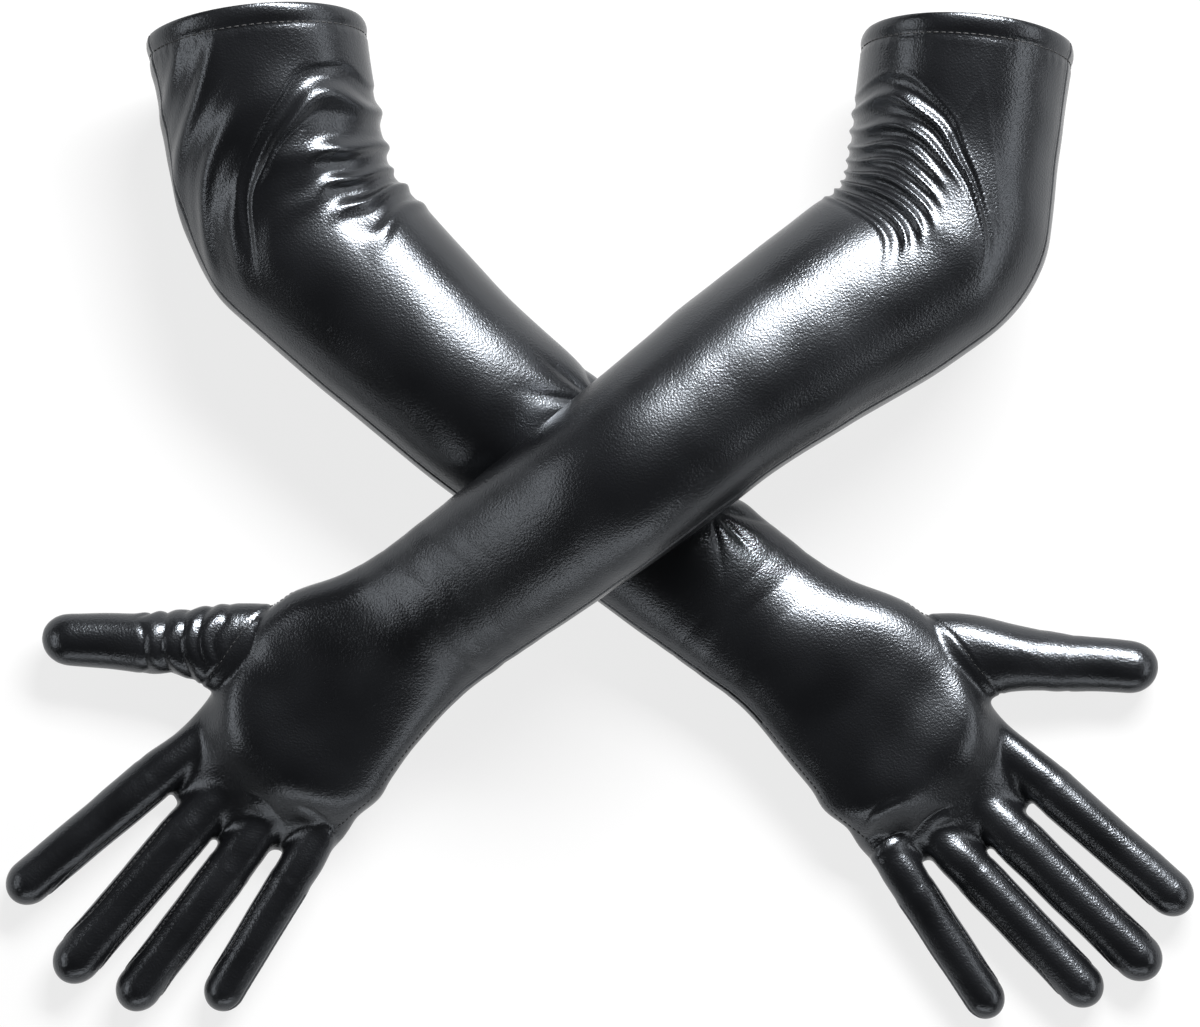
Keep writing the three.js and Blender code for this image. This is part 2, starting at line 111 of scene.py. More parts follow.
lays = {    # how each glove lies: headings in degrees, the fingers' turns, and the thumb's
    "left": {
        "thumbSide": 1, "upper": 98.5, "fore": -39.2, "hand": -40.4,
        "crossToWrist": 79, "upperWidth": 90, "spread": (-1, -4, -6, -16.5), "thumbSwing": -2.5,
        "shift": (1, 1.5, 4, -2.5, -2.5, -0.5, 0),    # of the first seven stations
    },
    "right": {
        "thumbSide": -1, "upper": 82.9, "fore": 216.4, "hand": 221.4,
        "crossToWrist": 75, "upperWidth": 87, "spread": (1.5, -8, -11.5, -17.5), "thumbSwing": 4,
        "shift": (-3.3, -3.5, -3.3, 0, -2, -2, -1.5),
    },
}
crossing = np.array((-0.5, 11.0))
handStart = arm["forearmLength"] + 35     # where the forearm piece meets the hand
sleeveEnd = 100                           # where the sleeve piece meets the forearm


# 0 up to low, 1 from high, and a cubic between.
def smooth(value, low, high):
    f = np.clip((value - low) / (high - low), 0, 1)
    return f * f * (3 - 2 * f)


def heading(degrees):
    return np.array((math.cos(math.radians(degrees)), math.sin(math.radians(degrees))))


# Each limb is a row of ovals, whose depth follows from the tape measure round it:
# girth² = 2π²(halfWidth² + halfDepth²).
def limbOf(side):
    lay, wrist = lays[side], arm["forearmLength"]
    upper, cross = arm["upperLength"], wrist - lay["crossToWrist"]
    narrow = arm["crossNarrowing"]
    stations = [    # distance from the elbow, width, girth, sideways shift
        (-upper - 20, lay["upperWidth"], arm["upperGirth"], 0),
        (-upper / 2, lay["upperWidth"] - 1, arm["upperGirth"], 0),
        (0, *arm["elbow"], 0),
        (0.4 * wrist, *arm["forearm"], 0),
        (cross, arm["forearm"][0] - narrow[0], arm["forearm"][1] - narrow[1], 0),
        (wrist, *arm["wrist"], 0),
        (wrist + 24, arm["wrist"][0] + 2, arm["wrist"][1] + 4, 2),
        (wrist + 50, arm["palm"][0] - 6, arm["palm"][1] - 10, 4),
        (wrist + 78, *arm["palm"], 1.5),
        (wrist + 104, *arm["palm"], -3.5),
        (wrist + 126, arm["palm"][0], arm["knuckleGirth"], -7.5),
        (wrist + 148, arm["palm"][0], arm["knuckleGirth"] - 4, -8),
    ]
    at, width, girth, shift = np.array(stations, float).T
    shift[:7] += lay["shift"]
    byHem = at < -upper / 2 - 1
    limb = {
        "side": side, "lay": lay, "at": at, "thumbSide": lay["thumbSide"], "wrist": wrist,
        "halfWidth": width / 2, "shift": shift,
        "lean": np.where(byHem, arm["hemLean"], 0.0),
        "skew": np.where(byHem, arm["hemSkew"], 0.0),
        "square": np.where(at > wrist + arm["palmFrom"], arm["palmSquare"], 1.0),
    }
    depth = np.sqrt(np.maximum(girth ** 2 / (2 * math.pi ** 2) - limb["halfWidth"] ** 2, 4 ** 2))
    height = depth - arm["flatten"]
    height[0] += arm["flatten"] + arm["hemLift"]
    if side == "right":
        rise, more = arm["rise"], arm["riseMore"]
        depth[4] *= arm["crossSquash"]
        height[4] = arm["pressed"] + arm["restGap"] - arm["restSag"] + depth[4]
        over = arm["pressed"] + more["over"] + depth[4]
        height[2] += rise["elbow"] * over
        height[3] = (1 - rise["midForearm"]) * height[2] + rise["midForearm"] * over
        height[5], height[6] = rise["wrist"] * over, rise["afterWrist"] * over
        height[7] = rise["heel"] * over + more["heel"]
        height[8] = max(height[8], rise["palm"] * over + more["palm"])
    else:
        depth[4] = (arm["pressed"] + arm["flatten"]) / 2
        height[4] = depth[4] - arm["flatten"]
    limb["halfDepth"], limb["height"] = depth, height
    limb["foreWay"], limb["upperWay"] = heading(lay["fore"]), heading(lay["upper"])
    limb["handWay"] = heading(lay["hand"])
    limb["elbow"] = crossing + limb["foreWay"] * (lay["crossToWrist"] - wrist)
    limb["wristAt"] = limb["elbow"] + limb["foreWay"] * wrist
    limb["handAcross"] = np.array((-limb["handWay"][1], limb["handWay"][0])) * lay["thumbSide"]
    return limb


# A cubic through the stations, whose slopes come from each station's two neighbours.
def valueAt(limb, key, t):
    at, row = limb["at"], limb[key]
    last = len(at) - 1
    i = np.searchsorted(at[1:-1], t, side="left")
    low, high = np.maximum(np.arange(last + 1) - 1, 0), np.minimum(np.arange(last + 1) + 1, last)
    slope = (row[high] - row[low]) / (at[high] - at[low])
    span = at[i + 1] - at[i]
    s = np.clip((t - at[i]) / span, 0, 1)
    keep = 2 * s ** 3 - 3 * s ** 2 + 1
    return (row[i] * keep + row[i + 1] * (1 - keep)
            + slope[i] * span * (s ** 3 - 2 * s ** 2 + s) + slope[i + 1] * span * (s ** 3 - s ** 2))


# Two straight lines joined by a parabola at the elbow, then the hand's own line past the wrist.
def centreAt(limb, t):
    reach = arm["cornerReach"]
    s = np.clip((t + reach) / (2 * reach), 0, 1)[..., None]
    before, after = np.maximum(-t - reach, 0)[..., None], np.clip(t, 0, limb["wrist"])[..., None]
    after = np.where(t[..., None] > reach, after - reach, 0)
    hand = np.maximum(t - limb["wrist"], 0)[..., None]
    corner = limb["upperWay"] * reach * (1 - s) ** 2 + limb["foreWay"] * reach * s ** 2
    return (limb["elbow"] + corner + limb["upperWay"] * before
            + limb["foreWay"] * after + limb["handWay"] * hand)


# The limb's own direction and the way across it, towards the thumb's side; both turn smoothly at the bends.
def acrossAt(limb, t):
    lay = limb["lay"]
    start = lay["upper"] - 180 * lay["thumbSide"]
    angle = (start + (lay["fore"] - start) * smooth(t, -arm["turnReach"], arm["turnReach"])
             + (lay["hand"] - lay["fore"])
             * smooth(t, limb["wrist"] - arm["wristReach"], limb["wrist"] + arm["wristReach"]))
    angle = np.radians(angle)
    way = np.stack((np.cos(angle), np.sin(angle)), -1)
    return way, np.stack((-way[..., 1], way[..., 0]), -1) * limb["thumbSide"]


# The limb's skin: centre + across · halfWidth · |cos|^square, raised by halfDepth · |sin|^square. Near
# the hem it leans back along the limb as it rises, and nothing goes below the surface it lies on.
def limbPoint(limb, t, angle):
    t, angle = np.broadcast_arrays(np.asarray(t, float), np.asarray(angle, float))
    way, across = acrossAt(limb, t)
    square = valueAt(limb, "square", t)
    c, s = np.cos(angle), np.sin(angle)
    aside = valueAt(limb, "halfWidth", t) * np.sign(c) * np.abs(c) ** square
    rise = valueAt(limb, "halfDepth", t) * np.sign(s) * np.abs(s) ** square
    along = valueAt(limb, "skew", t) * aside - valueAt(limb, "lean", t) * rise
    plan = (centreAt(limb, t) + across * (valueAt(limb, "shift", t) + aside)[..., None]
            + way * along[..., None])
    level = valueAt(limb, "height", t) + rise
    level = 0.5 * (level + np.sqrt((level - 0.1) ** 2 + 1.2)) + 0.05
    return np.concatenate((plan, level[..., None]), -1)


def wrap(angle):
    return (angle + math.pi) % (2 * math.pi) - math.pi


# Slow unevenness: a mean of sine waves in fixed random directions, each about the given length.
def unevenness(points, length, seed, waves=9):
    draw = np.random.default_rng(seed)
    way = draw.normal(size=(waves, 3))
    way /= np.linalg.norm(way, axis=1)[:, None]
    rate = 2 * math.pi / (length * draw.uniform(0.7, 1.5, waves))
    phase = draw.uniform(0, 2 * math.pi, waves)
    return np.sin((points @ way.T) * rate + phase).sum(-1) / math.sqrt(waves)


slack = [(46, 0.2, 21), (19, 0.07, 22)]    # the cloth's slow waves: length, height, seed


def slackOf(points):
    return sum(height * unevenness(points, length, seed) for length, height, seed in slack)


# Each ridge of a wave has its own height, from the least given up to 1.
def ridgeHeight(phase, seed, least, count=64):
    heights = np.random.default_rng(seed).uniform(least, 1, count)
    return heights[np.floor(phase / (2 * math.pi) + 0.5).astype(int) % count]


# Gathers: rounded ridges between sharp valleys, |cos|.
def gathers(phase, seed):
    return ridgeHeight(phase, seed, 0.45) * np.abs(np.cos(phase / 2)) ** 0.85


# Pleats: narrow ridges between wide valleys, (half of 1 + cos)^sharp.
def pleats(phase, seed, sharp):
    return ridgeHeight(phase, seed, 0.55) * (0.5 + 0.5 * np.cos(phase)) ** sharp


# Where folds lie. Crook: lines that leave the crook's edge, rise towards the hem and then fall away down
# the arm as they run out, and the ones nearest the hem run longest. Long: soft ridges that sweep down the
# sleeve's outer side. Press: faint straight creases. Fans: creases that spread from one spot.
folds = {
    "right": {
        "crook": {"pitch": 9.2, "from": -56, "to": 26, "rise": 6, "fall": 46, "reach": 1.0, "longer": 0.55,
                  "depth": 3.2, "sharp": 2.0, "wander": 1.6, "seed": 5},
        "long": {"pitch": 34, "sweep": 20, "from": -78, "to": 30, "depth": 0.35, "seed": 8},
        "press": [(-62, 0.15, 50, 14), (-66, -0.35, 62, -10)],
        "fans": [],
    },
    "left": {
        "crook": {"pitch": 19, "from": -54, "to": 44, "rise": 8, "fall": 44, "reach": 0.8, "longer": 0.85,
                  "depth": 4.8, "sharp": 1.9, "wander": 3.2, "seed": 3},
        "long": {"pitch": 27, "sweep": 62, "from": -79, "to": 20, "depth": 1.5, "seed": 11},
        "press": [],
        "fans": [
            {"t": 146, "side": 30, "turn": 170, "spread": 75, "count": 5, "reach": 42, "depth": 1.3},
            {"t": 208, "side": 24, "turn": 10, "spread": 80, "count": 5, "reach": 36, "depth": 1.2},
        ],
    },
}
wristCreases = {"pitch": 11, "reach": 30, "depth": 0.2, "wander": 4, "seed": 17}
hem = {
    "inset": 6.5, "stitch": 2.3, "pitch": 3.1, "radius": 0.3, "turnedIn": 8,
    "facingGap": 0.25, "facingWall": 0.6,
    "dip": 0.55, "puff": 0.35, "rolled": 0.5, "pucker": 0.05, "puckers": 52,
}
seam = {
    "angle": math.radians(162), "stitch": 1.6, "pitch": 2.4, "radius": 0.2, "groove": 0.5, "swelling": 0.12,
}


# A sewn seam: a narrow groove with a low swelling on both sides, puckered along its length.
def seamRelief(distance, along):
    pucker = 1 + 0.25 * np.sin(along * 2.1 + 2 * np.sin(along * 0.37))
    return (-seam["groove"] * np.exp(-(distance / 0.6) ** 2)
            + seam["swelling"] * pucker * np.exp(-((np.abs(distance) - 1.5) / 0.9) ** 2))


# How far the cloth stands off its oval, in mm: a sum of the folds listed above.
def sleeveRelief(limb, t, angle, points):
    c, top = np.cos(angle), smooth(np.sin(angle), -0.5, 0.3)
    half = valueAt(limb, "halfWidth", t)
    f = folds[limb["side"]]
    relief = slackOf(points)

    k = f["crook"]
    q = 1 - c    # 0 at the crook's edge, 1 along the middle
    bent = (t + k["rise"] * (1 - (1 - np.minimum(q / 0.4, 1)) ** 2) - k["fall"] * np.maximum(q - 0.4, 0) ** 2
            + k["wander"] * unevenness(points, 36, k["seed"]))
    ends = smooth(bent, k["from"], k["from"] + 5) * (1 - smooth(bent, k["to"] - 16, k["to"]))
    reach = k["reach"] + k["longer"] * (1 - smooth(bent, k["from"] + 8, k["from"] + 24))
    across = (0.6 + 0.4 * smooth(q, 0.1, 0.5)) * (1 - smooth(q, reach - 0.4, reach))
    under = 0.3 + 0.7 * smooth(np.sin(angle), -0.6, 0.2)
    relief += k["depth"] * ends * across * under * (
        pleats(2 * math.pi * bent / k["pitch"], k["seed"], k["sharp"]) - 0.35)

    k = f["long"]
    bent = t - k["sweep"] * np.where(c < 0, c * c, 0) + 3 * unevenness(points, 80, k["seed"] + 1)
    ends = smooth(t, k["from"], k["from"] + 14) * (1 - smooth(t, k["to"] - 30, k["to"]))
    relief += k["depth"] * ends * top * (1 - smooth(c, 0.0, 0.6)) * (
        pleats(2 * math.pi * bent / k["pitch"], k["seed"], 2) - 0.3)

    for t0, c0, length, skew in f["press"]:
        u = (t - t0) / length
        line = np.abs((c - c0) * half - skew * (u - 0.5) * 2)
        relief += 0.28 * top * smooth(u, 0, 0.15) * (1 - smooth(u, 0.75, 1)) * np.exp(-line / 1.3)

    for fan in f["fans"]:
        dt, ds = t - fan["t"], (c * half - fan["side"])
        r = np.hypot(dt, ds)
        turn = np.degrees(wrap(np.arctan2(ds, dt) - math.radians(fan["turn"])))
        window = smooth(fan["spread"] - np.abs(turn), 0, 22)
        ends = smooth(r, 2, 12) * (1 - smooth(r, 0.4 * fan["reach"], fan["reach"]))
        phase = 2 * math.pi * (turn + 0.12 * r) * fan["count"] / (2 * fan["spread"])
        relief += fan["depth"] * top * window * ends * (gathers(phase, fan["count"]) - 0.5)

    # the wrist's slight creases
    k, wrist = wristCreases, limb["wrist"]
    ends = smooth(t, wrist - k["reach"], wrist - 12) * (1 - smooth(t, wrist + 10, wrist + k["reach"]))
    bent = t + k["wander"] * unevenness(points, 50, 33)
    relief += k["depth"] * ends * (gathers(2 * math.pi * bent / k["pitch"], k["seed"]) - 0.5)

    # hem: stitched down, so it dips at the stitching and puffs a little each side
    edge = t + arm["upperLength"]
    relief -= hem["dip"] * np.exp(-((edge - hem["inset"]) / 1.1) ** 2)
    relief += (hem["puff"] * np.exp(-((edge - 3) / 2.4) ** 2)
               - hem["rolled"] * np.exp(-edge / 0.7) * (edge < hem["turnedIn"]))
    pucker = np.cos(angle * hem["puckers"] + 1.5 * unevenness(points, 30, 44))
    relief += hem["pucker"] * pucker * np.exp(-((edge - hem["inset"] - 2.2) / 2.6) ** 2)

    # long seam
    place = wrap(angle - seam["angle"]) * 0.5 * (half + valueAt(limb, "halfDepth", t))
    relief += seamRelief(place, t)
    return relief


# Quads between the points of a grid that closes on itself across its columns.
def gridFaces(rows, columns):
    r, c = np.meshgrid(np.arange(rows - 1), np.arange(columns), indexing="ij")
    here, onward, after = r * columns, (r + 1) * columns, (c + 1) % columns
    return np.stack((here + c, here + after, onward + after, onward + c), -1).reshape(-1, 4)


# Normals of a grid that closes on itself across its columns: the product of its two steps.
def gridNormals(grid):
    along = np.gradient(grid, axis=0)
    around = np.roll(grid, -1, axis=1) - np.roll(grid, 1, axis=1)
    normal = np.cross(around, along)
    return normal / np.maximum(np.linalg.norm(normal, axis=-1, keepdims=True), 1e-9)


def addObject(name, data):
    new = bpy.data.objects.new(name, data)
    bpy.context.scene.collection.objects.link(new)
    return new


# A skin with its wall: the same points moved in along their normals, and a rim round every open edge.
def makeShell(name, points, normals, quads, wall, outside, inside, triangles=None):
    count = len(points)
    facing = np.cross(points[quads[:, 2]] - points[quads[:, 0]], points[quads[:, 3]] - points[quads[:, 1]])
    triangles = np.empty((0, 3), int) if triangles is None else triangles
    if (facing * normals[quads[:, 0]]).sum() < 0:    # faces turn the way their normals point
        quads, triangles = quads[:, ::-1], triangles[:, ::-1]
    inner = quads[:, ::-1] + count
    extra = triangles.tolist() + (triangles[:, ::-1] + count).tolist()
    edge = np.concatenate([
        face[:, (k, (k + 1) % sides)] for face, sides in ((quads, 4), (triangles, 3)) for k in range(sides)])
    key, back = edge[:, 0] * count + edge[:, 1], edge[:, 1] * count + edge[:, 0]
    rim = edge[~np.isin(key, back)]
    rimFaces = np.stack((rim[:, 1], rim[:, 0], rim[:, 0] + count, rim[:, 1] + count), -1)
    mesh = bpy.data.meshes.new(name)
    both = np.concatenate((points, points - normals * wall)) * metres
    mesh.from_pydata(both.tolist(), [], np.concatenate((quads, rimFaces, inner)).tolist() + extra)
    mesh.materials.append(outside)
    mesh.materials.append(inside)
    slots = np.zeros(len(mesh.polygons), np.int32)
    outer = len(quads) + len(rimFaces)
    slots[outer:outer + len(inner)] = 1
    mesh.polygons.foreach_set("material_index", slots)
    mesh.polygons.foreach_set("use_smooth", np.ones(len(mesh.polygons), bool))
    mesh.update()
    mesh.normals_split_custom_set_from_vertices(np.concatenate((normals, -normals)).tolist())
    return addObject(name, mesh)


# Stitches: each a short bead, its radius √(1 − v⁴) over its length, laid along a path and half sunk.
def stitchRow(name, path, normals, size, material):
    step = np.linalg.norm(np.diff(path, axis=0), axis=1)
    run = np.concatenate(((0,), np.cumsum(step)))
    places = np.arange(size["pitch"] / 2, run[-1] - size["pitch"] / 2, size["pitch"])
    centre = np.stack([np.interp(places, run, path[:, k]) for k in range(3)], -1)
    ahead = np.stack([np.interp(places + 0.3, run, path[:, k]) for k in range(3)], -1) - centre
    ahead /= np.linalg.norm(ahead, axis=1)[:, None]
    up = np.stack([np.interp(places, run, normals[:, k]) for k in range(3)], -1)
    up -= ahead * (up * ahead).sum(1)[:, None]
    up /= np.linalg.norm(up, axis=1)[:, None]
    aside = np.cross(ahead, up)
    v, sides = np.array((-0.98, -0.75, 0, 0.75, 0.98)), 6
    radius = size["radius"] * np.sqrt(1 - v ** 4)
    turn = np.arange(sides) * 2 * math.pi / sides
    ring = (ahead[:, None, None] * (v * size["stitch"] / 2)[None, :, None, None]
            + aside[:, None, None] * (radius[:, None] * np.cos(turn))[None, :, :, None]
            + up[:, None, None] * (radius[:, None] * np.sin(turn) + 0.35 * size["radius"])[None, :, :, None])
    points = (centre[:, None, None] + ring).reshape(-1, 3)
    shift = np.arange(len(places))[:, None, None] * len(v) * sides
    quads = (gridFaces(len(v), sides)[None] + shift).reshape(-1, 4)
    ends = np.stack((np.arange(sides)[::-1], (len(v) - 1) * sides + np.arange(sides)))
    caps = (ends[None] + shift).reshape(-1, sides)
    mesh = bpy.data.meshes.new(name)
    mesh.from_pydata((points * metres).tolist(), [], quads[:, ::-1].tolist() + caps[:, ::-1].tolist())
    mesh.materials.append(material)
    mesh.polygons.foreach_set("use_smooth", np.ones(len(mesh.polygons), bool))
    mesh.update()
    return addObject(name, mesh)


finish = {
    "coat": (0.002, 0.0021, 0.0025),
    "roughness": (0.24, 0.31),
    "gloss": 0.7,
    "glossTint": (0.86, 0.92, 1.0),
    "grain": 0.85,                   # mm between the grains of the coating
    "grainBump": (0.8, 0.00017),     # strength, and metres deep
    "waves": 34.0,                   # soft waves per metre
    "waveBump": (0.25, 0.0012),
    "thread": (0.004, 0.004, 0.0045),
    "lining": (0.03, 0.03, 0.033),
}


def newMaterial(name, colour, roughness):
    material = bpy.data.materials.new(name)
    material.use_nodes = True
    tree = material.node_tree
    shader = next(n for n in tree.nodes if n.type == "BSDF_PRINCIPLED")
    shader.inputs["Base Color"].default_value = (*colour, 1)
    shader.inputs["Roughness"].default_value = roughness
    return material, tree, shader


def addNode(tree, kind, values=None, **settings):
    new = tree.nodes.new(kind)
    for key, value in settings.items():
        setattr(new, key, value)
    for key, value in (values or {}).items():
        new.inputs[key].default_value = value
    return new


def addRange(tree, low, high, least, most):
    return addNode(tree, "ShaderNodeMapRange", {
        "From Min": low, "From Max": high, "To Min": least, "To Max": most})


def addBump(tree, strength, distance):
    return addNode(tree, "ShaderNodeBump", {"Strength": strength, "Distance": distance})


# Near-black gloss: fine grain and slow waves in its relief, and the waves in its roughness and shade too.
def coatedFabric(name):
    material, tree, shader = newMaterial(name, finish["coat"], finish["roughness"][0])
    link = tree.links.new
    place = addNode(tree, "ShaderNodeTexCoord").outputs["Object"]
    fine, broad = [
        addNode(tree, "ShaderNodeTexNoise", {"Scale": scale, "Detail": 1.0, "Roughness": 0.5})
        for scale in (1000 / finish["grain"], finish["waves"])]
    for texture in (fine, broad):
        link(place, texture.inputs["Vector"])
    rough = addRange(tree, 0.3, 0.7, *finish["roughness"])
    link(broad.outputs["Fac"], rough.inputs["Value"])
    link(rough.outputs["Result"], shader.inputs["Roughness"])
    tint = addRange(tree, 0.25, 0.75, 0.75, 1.35)
    link(broad.outputs["Fac"], tint.inputs["Value"])
    shade = addNode(tree, "ShaderNodeVectorMath", {0: finish["coat"]}, operation="SCALE")
    link(tint.outputs["Result"], shade.inputs["Scale"])
    link(shade.outputs["Vector"], shader.inputs["Base Color"])
    grain = addBump(tree, *finish["grainBump"])
    link(fine.outputs["Fac"], grain.inputs["Height"])
    wave = addBump(tree, *finish["waveBump"])
    link(broad.outputs["Fac"], wave.inputs["Height"])
    link(wave.outputs["Normal"], grain.inputs["Normal"])
    link(grain.outputs["Normal"], shader.inputs["Normal"])
    shader.inputs["Specular IOR Level"].default_value = finish["gloss"]
    shader.inputs["Specular Tint"].default_value = (*finish["glossTint"], 1)
    return material


# A matt yarn, whose one texture only shows as relief.
def yarn(name, colour, roughness, texture, values, strength, distance):
    material, tree, shader = newMaterial(name, colour, roughness)
    link = tree.links.new
    pattern = addNode(tree, texture, values)
    link(addNode(tree, "ShaderNodeTexCoord").outputs["Object"], pattern.inputs["Vector"])
    bump = addBump(tree, strength, distance)
    link(pattern.outputs["Fac"], bump.inputs["Height"])
    link(bump.outputs["Normal"], shader.inputs["Normal"])
    return material, shader


def liningKnit(name):
    rows = {"Scale": 420.0, "Distortion": 1.5, "Detail": 2.0}
    material, shader = yarn(name, finish["lining"], 0.85, "ShaderNodeTexWave", rows, 0.5, 0.0003)
    shader.inputs["Sheen Weight"].default_value = 0.25
    return material


def twistedThread(name):
    ply = {"Scale": 2600.0, "Detail": 2.0}
    return yarn(name, finish["thread"], 0.7, "ShaderNodeTexNoise", ply, 0.4, 0.0001)[0]


coated = coatedFabric("coatedFabric")
lining = liningKnit("liningKnit")
thread = twistedThread("twistedThread")

mesh = {"step": 1.08, "around": 250, "crowd": 0.45, "voxel": 0.95, "fingerRows": 96, "fingerAround": 104}


# Columns crowd towards the long seam: angle = 2πu − crowd · sin(2πu − seam).
def seamAngles(count):
    u = 2 * math.pi * np.arange(count) / count
    return u - mesh["crowd"] * np.sin(u - seam["angle"])


# The upper forearm lies on the lower one: its cloth stays above the lower one's top.
def restOn(points, lower):
    start, end = arm["restAlong"]
    plan = points[..., :2] - lower["elbow"]
    t = plan @ lower["foreWay"]
    aside = plan @ np.array((-lower["foreWay"][1], lower["foreWay"][0])) * lower["thumbSide"]
    halfWidth, halfDepth, height = [
        valueAt(lower, key, np.clip(t, start, end)) for key in ("halfWidth", "halfDepth", "height")]
    reach = np.clip(1 - (aside / halfWidth) ** 2, 0, 1)
    floor = height + halfDepth * np.sqrt(reach) + arm["restLift"]
    floor = np.where((reach > 0) & (t > start) & (t < end), floor, 0)
    level = points[..., 2]
    points[..., 2] = np.where(floor > 0, 0.5 * (level + floor + np.sqrt((level - floor) ** 2 + 1.0)), level)
    return points


# The arm's finished surface and its normals, over a grid of stations and angles.
def armSkin(limb, t, angle, lower):
    grid = limbPoint(limb, t[:, None], angle[None, :])
    if lower:
        grid = restOn(grid, lower)
    normal = gridNormals(grid)
    if normal[len(t) // 2, len(angle) // 4, 2] < 0:
        normal = -normal
    relief = sleeveRelief(limb, t[:, None] + 0 * angle[None, :], 0 * t[:, None] + angle[None, :], grid)
    grid = grid + normal * relief[..., None]
    grid[..., 2] = np.maximum(grid[..., 2], 0.05)
    turned = gridNormals(grid)
    if (turned * normal).sum() < 0:
        turned = -turned
    return grid, turned


def armPiece(name, limb, start, end, lower, inside):
    rows = int(round((end - start) / mesh["step"])) + 1
    t = np.linspace(start, end, rows)
    step = t[1] - t[0]
    longer = np.concatenate(((start - step,), t, (end + step,)))
    angle = seamAngles(mesh["around"])
    grid, normal = armSkin(limb, longer, angle, lower)
    grid, normal = grid[1:-1], normal[1:-1]
    quads = gridFaces(rows, len(angle))
    piece = makeShell(name, grid.reshape(-1, 3), normal.reshape(-1, 3), quads, arm["wall"], coated, inside)
    return piece, t, grid, normal


def seamLine(limb, start, end, lower):
    around = seamAngles(mesh["around"])
    skin, normal = armSkin(limb, np.arange(start, end, 1.0), around, lower)
    column = int(np.argmin(np.abs(wrap(around - seam["angle"]))))
    return skin[:, column], normal[:, column]


def levelAt(limb, t):
    return float(valueAt(limb, "height", np.array(float(t))))


def blendElbow(piece, limb):
    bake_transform(piece)


def blendWrist(piece, limb):
    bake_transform(piece)


def makeArm(limb, lower):
    side = limb["side"]
    sleeve, t, grid, normal = armPiece(f"{side}_sleeve", limb, -arm["upperLength"], sleeveEnd, lower, lining)
    blendElbow(sleeve, limb)
    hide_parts(f"{side}_upper_sleeve", f"{side}_elbow")

    forearm = armPiece(f"{side}_forearm_skin", limb, sleeveEnd, handStart, lower, lining)[0]
    blendWrist(forearm, limb)
    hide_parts(f"{side}_forearm", f"{side}_wrist")

    # the hem's turned-in edge, inside the opening
    deep = int(round(hem["turnedIn"] / (t[1] - t[0]))) + 1
    inward = grid[:deep] - normal[:deep] * (arm["wall"] + hem["facingGap"])
    facing = makeShell(f"{side}_hem_facing", inward.reshape(-1, 3), normal[:deep].reshape(-1, 3),
                       gridFaces(deep, mesh["around"]), hem["facingWall"], coated, coated)
    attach(facing, side + "_upper")
    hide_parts(f"{side}_hem_fold")

    row = int(round(hem["inset"] / (t[1] - t[0])))
    loop = np.concatenate((grid[row], grid[row][:1]))
    loopNormals = np.concatenate((normal[row], normal[row][:1]))
    stitches = stitchRow(f"{side}_hem_stitches", loop, loopNormals, hem, thread)
    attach(stitches, side + "_upper")
    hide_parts(f"{side}_hem_thread")

    for name, start, end, turn, nodes in (
        ("sleeve_seam_stitches", -arm["upperLength"] + hem["turnedIn"], sleeveEnd, blendElbow,
         (f"{side}_upper_seam_thread", f"{side}_elbow_seam_thread")),
        ("forearm_seam_stitches", sleeveEnd, handStart, blendWrist, (f"{side}_forearm_seam_thread",)),
    ):
        line, lineNormals = seamLine(limb, start, end, lower)
        row = stitchRow(f"{side}_{name}", line, lineNormals, seam, thread)
        turn(row, limb)
        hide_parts(*nodes)


# From the hand's frame, along it and out to the thumb's side from the wrist, to plan and back.
def handPoint(limb, x, y):
    return limb["wristAt"] + np.multiply.outer(x, limb["handWay"]) + np.multiply.outer(y, limb["handAcross"])


def handPlace(limb, points):
    rel = points[:, :2] - limb["wristAt"]
    return rel @ limb["handWay"], rel @ limb["handAcross"], points[:, 2]


# Each finger's frame: its root, the way it points, the way to the thumb's side, and up.
def fingerFrame(limb, n):
    finger = fingers[n]
    turn = math.radians(limb["lay"]["spread"][n])
    plan = limb["handWay"] * math.cos(turn) + limb["handAcross"] * math.sin(turn)
    rootLevel = max(levelAt(limb, limb["wrist"] + finger["x"]), finger["depth"] / 2 + 1)
    tipLevel = finger["depth"] / 2 + 0.6
    pitch = math.asin((rootLevel - tipLevel) / (finger["length"] - finger["depth"] / 2))
    ahead = np.array((*(plan * math.cos(pitch)), -math.sin(pitch)))
    aside = np.array((-plan[1], plan[0], 0)) * limb["thumbSide"]
    up = np.cross(ahead, aside) * limb["thumbSide"]
    root = np.array((*handPoint(limb, finger["x"], finger["y"]), rootLevel))
    return {"root": root, "ahead": ahead, "aside": aside, "up": up, **finger}


# A finger is a tube, a little wider at its root, closed by an oval end: radius √(1 − v²) past the tube.
def fingerRadius(f, s):
    half, cap = f["width"] / 2, fingerCap * f["width"] / 2
    swell = 1 + 0.06 * (1 - np.clip(s / f["length"], 0, 1)) ** 2
    inside = np.clip(1 + 0.009 * s, 0.5, 1)
    v = np.clip((s - f["length"] + cap) / cap, 0, 1)
    return half * swell * inside * np.sqrt(np.maximum(1 - v ** 2, 0))


def fingerPoint(f, s, angle):
    r = fingerRadius(f, s)[..., None]
    c, u = np.cos(angle)[..., None], np.sin(angle)[..., None]
    return (f["root"] + f["ahead"] * np.asarray(s)[..., None]
            + f["aside"] * r * c + f["up"] * r * u * f["depth"] / f["width"])


